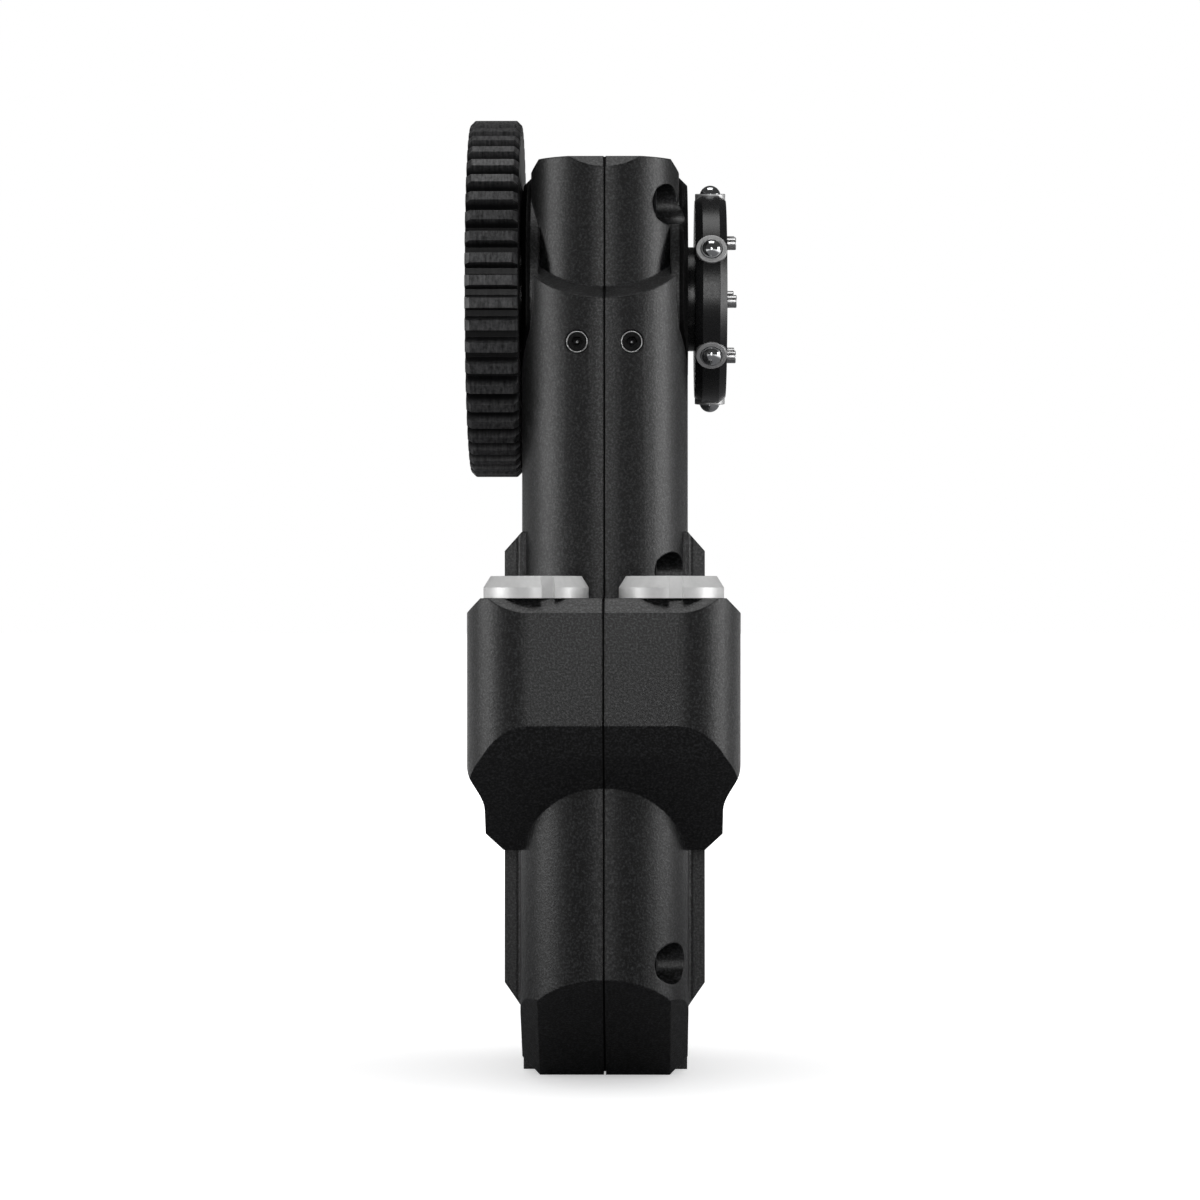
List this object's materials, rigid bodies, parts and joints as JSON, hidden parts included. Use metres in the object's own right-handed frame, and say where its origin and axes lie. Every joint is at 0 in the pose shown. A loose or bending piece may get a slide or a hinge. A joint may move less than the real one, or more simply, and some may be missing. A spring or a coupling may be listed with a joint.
{
  "type": "follow focus unit",
  "caption": "Motor unit that turns a lens ring through a toothed drive gear, with a quick-release hub on each end of its shaft, two sockets and a rod clamp.",
  "frame": {"origin": "centre of the rod clamp's bore, halfway along it", "axes": "+X along the rod and the output shaft, from the lens gear to the bare hub; +Y away from the sockets, towards the clamp's jaw; +Z from the clamp up to the output shaft"},
  "size_m": [0.0315, 0.0601, 0.1127],
  "materials": {
    "body_black": "fine bead-blasted black anodised",
    "clamp_black": "fine bead-blasted black anodised",
    "hub_black": "smooth black anodised",
    "gear_polymer": "moulded black acetal with a fine texture",
    "gasket_rubber": "matte",
    "screw_black": "black oxide",
    "steel": "ground",
    "ball_chrome": "polished",
    "nut_silver": "satin nickel",
    "brass": "machined",
    "alloy": "machined",
    "copper": "lacquered windings on a core",
    "board_green": "solder mask",
    "insert_polymer": "moulded",
    "contact_gold": "plated"
  },
  "bodies": {
    "housing": {"housing_left": "body_black", "housing_right": "body_black", "housing_gasket": "gasket_rubber", "housing_screws": "screw_black", "housing_dowels": "steel", "set_screws": "screw_black", "bearing_left": "steel", "bearing_right": "steel", "idler_axle": "steel", "compound_axle": "steel", "motor_can": "steel", "motor_cap": "alloy", "motor_stator": "copper", "control_board": "board_green", "socket_nut_left": "nut_silver", "socket_nut_right": "nut_silver", "socket_shell_left": "nut_silver", "socket_shell_right": "nut_silver", "socket_insert_left": "insert_polymer", "socket_insert_right": "insert_polymer", "socket_contacts": "contact_gold", "rod_saddle": "clamp_black", "clamp_pin": "steel", "saddle_screws": "screw_black", "saddle_dowels": "steel"},
    "output": {"output_shaft": "steel", "output_gear": "brass", "hub_left": "hub_black", "hub_right": "hub_black", "hub_pins_left": "steel", "hub_pins_right": "steel", "plunger_sleeves_left": "steel", "plunger_sleeves_right": "steel", "plunger_springs_left": "steel", "plunger_springs_right": "steel", "hub_screw_left": "screw_black", "hub_screw_right": "screw_black", "drive_gear": "gear_polymer"},
    "idler": {"idler_gear": "steel"},
    "compound": {"compound_gear": "brass"},
    "rotor": {"motor_rotor": "steel", "motor_pinion": "brass"},
    "jaw": {"clamp_jaw": "clamp_black"},
    "washer": {"clamp_washer": "steel"},
    "clamp_screw": {"clamp_screw": "screw_black"},
    "ball_left_1": {"ball_left_1": "ball_chrome"},
    "ball_left_2": {"ball_left_2": "ball_chrome"},
    "ball_left_3": {"ball_left_3": "ball_chrome"},
    "ball_left_4": {"ball_left_4": "ball_chrome"},
    "ball_left_5": {"ball_left_5": "ball_chrome"},
    "ball_left_6": {"ball_left_6": "ball_chrome"},
    "ball_right_1": {"ball_right_1": "ball_chrome"},
    "ball_right_2": {"ball_right_2": "ball_chrome"},
    "ball_right_3": {"ball_right_3": "ball_chrome"},
    "ball_right_4": {"ball_right_4": "ball_chrome"},
    "ball_right_5": {"ball_right_5": "ball_chrome"},
    "ball_right_6": {"ball_right_6": "ball_chrome"}
  },
  "joints": [
    {"name": "output_spin", "type": "hinge", "parent": "housing", "child": "output", "pos_m": [0, -0.008, 0.0774], "axis": [1, 0, 0], "continuous": true},
    {"name": "idler_spin", "type": "hinge", "parent": "housing", "child": "idler", "pos_m": [0, -0.012, 0.05883], "axis": [1, 0, 0], "continuous": true},
    {"name": "compound_spin", "type": "hinge", "parent": "housing", "child": "compound", "pos_m": [0, -0.007, 0.04959], "axis": [1, 0, 0], "continuous": true},
    {"name": "motor_spin", "type": "hinge", "parent": "housing", "child": "rotor", "pos_m": [0, -0.0085, 0.03366], "axis": [1, 0, 0], "continuous": true},
    {"name": "ball_left_1_press", "type": "slide", "parent": "output", "child": "ball_left_1", "axis": [0, 0.7793, -0.6266], "range_m": [0, 0.0005], "stiffness_N_per_m": 400, "springref_m": -0.0005, "deforming": ["plunger_springs_left"]},
    {"name": "ball_left_2_press", "type": "slide", "parent": "output", "child": "ball_left_2", "axis": [0, -0.153, -0.9882], "range_m": [0, 0.0005], "stiffness_N_per_m": 400, "springref_m": -0.0005, "deforming": ["plunger_springs_left"]},
    {"name": "ball_left_3_press", "type": "slide", "parent": "output", "child": "ball_left_3", "axis": [0, -0.9323, -0.3616], "range_m": [0, 0.0005], "stiffness_N_per_m": 400, "springref_m": -0.0005, "deforming": ["plunger_springs_left"]},
    {"name": "ball_left_4_press", "type": "slide", "parent": "output", "child": "ball_left_4", "axis": [0, -0.7793, 0.6266], "range_m": [0, 0.0005], "stiffness_N_per_m": 400, "springref_m": -0.0005, "deforming": ["plunger_springs_left"]},
    {"name": "ball_left_5_press", "type": "slide", "parent": "output", "child": "ball_left_5", "axis": [0, 0.153, 0.9882], "range_m": [0, 0.0005], "stiffness_N_per_m": 400, "springref_m": -0.0005, "deforming": ["plunger_springs_left"]},
    {"name": "ball_left_6_press", "type": "slide", "parent": "output", "child": "ball_left_6", "axis": [0, 0.9323, 0.3616], "range_m": [0, 0.0005], "stiffness_N_per_m": 400, "springref_m": -0.0005, "deforming": ["plunger_springs_left"]},
    {"name": "ball_right_1_press", "type": "slide", "parent": "output", "child": "ball_right_1", "axis": [0, 0.915, -0.4035], "range_m": [0, 0.0005], "stiffness_N_per_m": 400, "springref_m": -0.0005, "deforming": ["plunger_springs_right"]},
    {"name": "ball_right_2_press", "type": "slide", "parent": "output", "child": "ball_right_2", "axis": [0, 0.108, -0.9942], "range_m": [0, 0.0005], "stiffness_N_per_m": 400, "springref_m": -0.0005, "deforming": ["plunger_springs_right"]},
    {"name": "ball_right_3_press", "type": "slide", "parent": "output", "child": "ball_right_3", "axis": [0, -0.807, -0.5906], "range_m": [0, 0.0005], "stiffness_N_per_m": 400, "springref_m": -0.0005, "deforming": ["plunger_springs_right"]},
    {"name": "ball_right_4_press", "type": "slide", "parent": "output", "child": "ball_right_4", "axis": [0, -0.915, 0.4035], "range_m": [0, 0.0005], "stiffness_N_per_m": 400, "springref_m": -0.0005, "deforming": ["plunger_springs_right"]},
    {"name": "ball_right_5_press", "type": "slide", "parent": "output", "child": "ball_right_5", "axis": [0, -0.108, 0.9942], "range_m": [0, 0.0005], "stiffness_N_per_m": 400, "springref_m": -0.0005, "deforming": ["plunger_springs_right"]},
    {"name": "ball_right_6_press", "type": "slide", "parent": "output", "child": "ball_right_6", "axis": [0, 0.807, 0.5906], "range_m": [0, 0.0005], "stiffness_N_per_m": 400, "springref_m": -0.0005, "deforming": ["plunger_springs_right"]},
    {"name": "jaw_hinge", "type": "hinge", "parent": "housing", "child": "jaw", "pos_m": [0, 0.0015, -0.0106], "axis": [-1, 0, 0], "range_deg": [0, 75]},
    {"name": "clamp_screw_feed", "type": "slide", "parent": "jaw", "child": "washer", "axis": [0, -1, 0], "range_m": [0, 0.0049]},
    {"name": "clamp_screw_turn", "type": "hinge", "parent": "washer", "child": "clamp_screw", "pos_m": [0, 0.015, 0.0106], "axis": [0, -1, 0], "range_deg": [0, 2520]}
  ],
  "couplings": [
    {"joint": "idler_spin", "follows": "output_spin", "ratio": -1.9231},
    {"joint": "compound_spin", "follows": "output_spin", "ratio": 3.125},
    {"joint": "motor_spin", "follows": "output_spin", "ratio": -9.375},
    {"joint": "clamp_screw_turn", "follows": "clamp_screw_feed", "rad_per_m": 8976}
  ]
}
